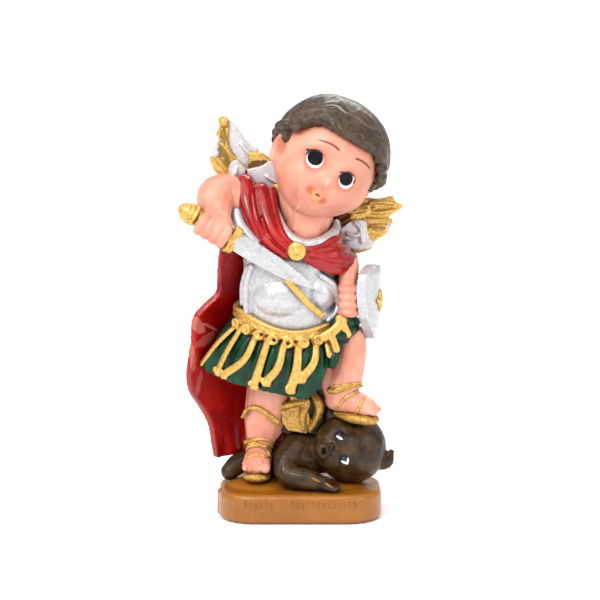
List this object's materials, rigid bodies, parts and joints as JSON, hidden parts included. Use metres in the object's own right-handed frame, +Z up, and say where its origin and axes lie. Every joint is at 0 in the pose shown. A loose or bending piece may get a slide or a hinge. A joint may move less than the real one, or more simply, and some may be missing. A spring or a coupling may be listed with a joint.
{
  "type": "archangel statue",
  "caption": "Painted cast-resin statuette of a winged child warrior saint in a cape, with sword and shield, treading on a prone horned demon, all on one round-cornered plinth.",
  "frame": {"origin": "middle of the plinth's flat underside", "axes": "+X to the viewer's right, +Y away from the viewer, +Z up"},
  "size_m": [0.052, 0.0285, 0.0994],
  "materials": {
    "painted_resin": "cast resin under glossy hand-laid paint",
    "skin_paint": "satin peach skin paint",
    "hair_paint": "satin dark brown paint",
    "red_paint": "glossy red paint, thin on the fold crests",
    "green_paint": "glossy dark green paint",
    "silver_paint": "silver flake paint",
    "gold_paint": "gold flake paint",
    "demon_paint": "glossy dark brown paint, worn on the high places",
    "ochre_paint": "glossy ochre paint"
  },
  "bodies": {
    "root": {"archangel_statue": "painted_resin"}
  },
  "joints": []
}
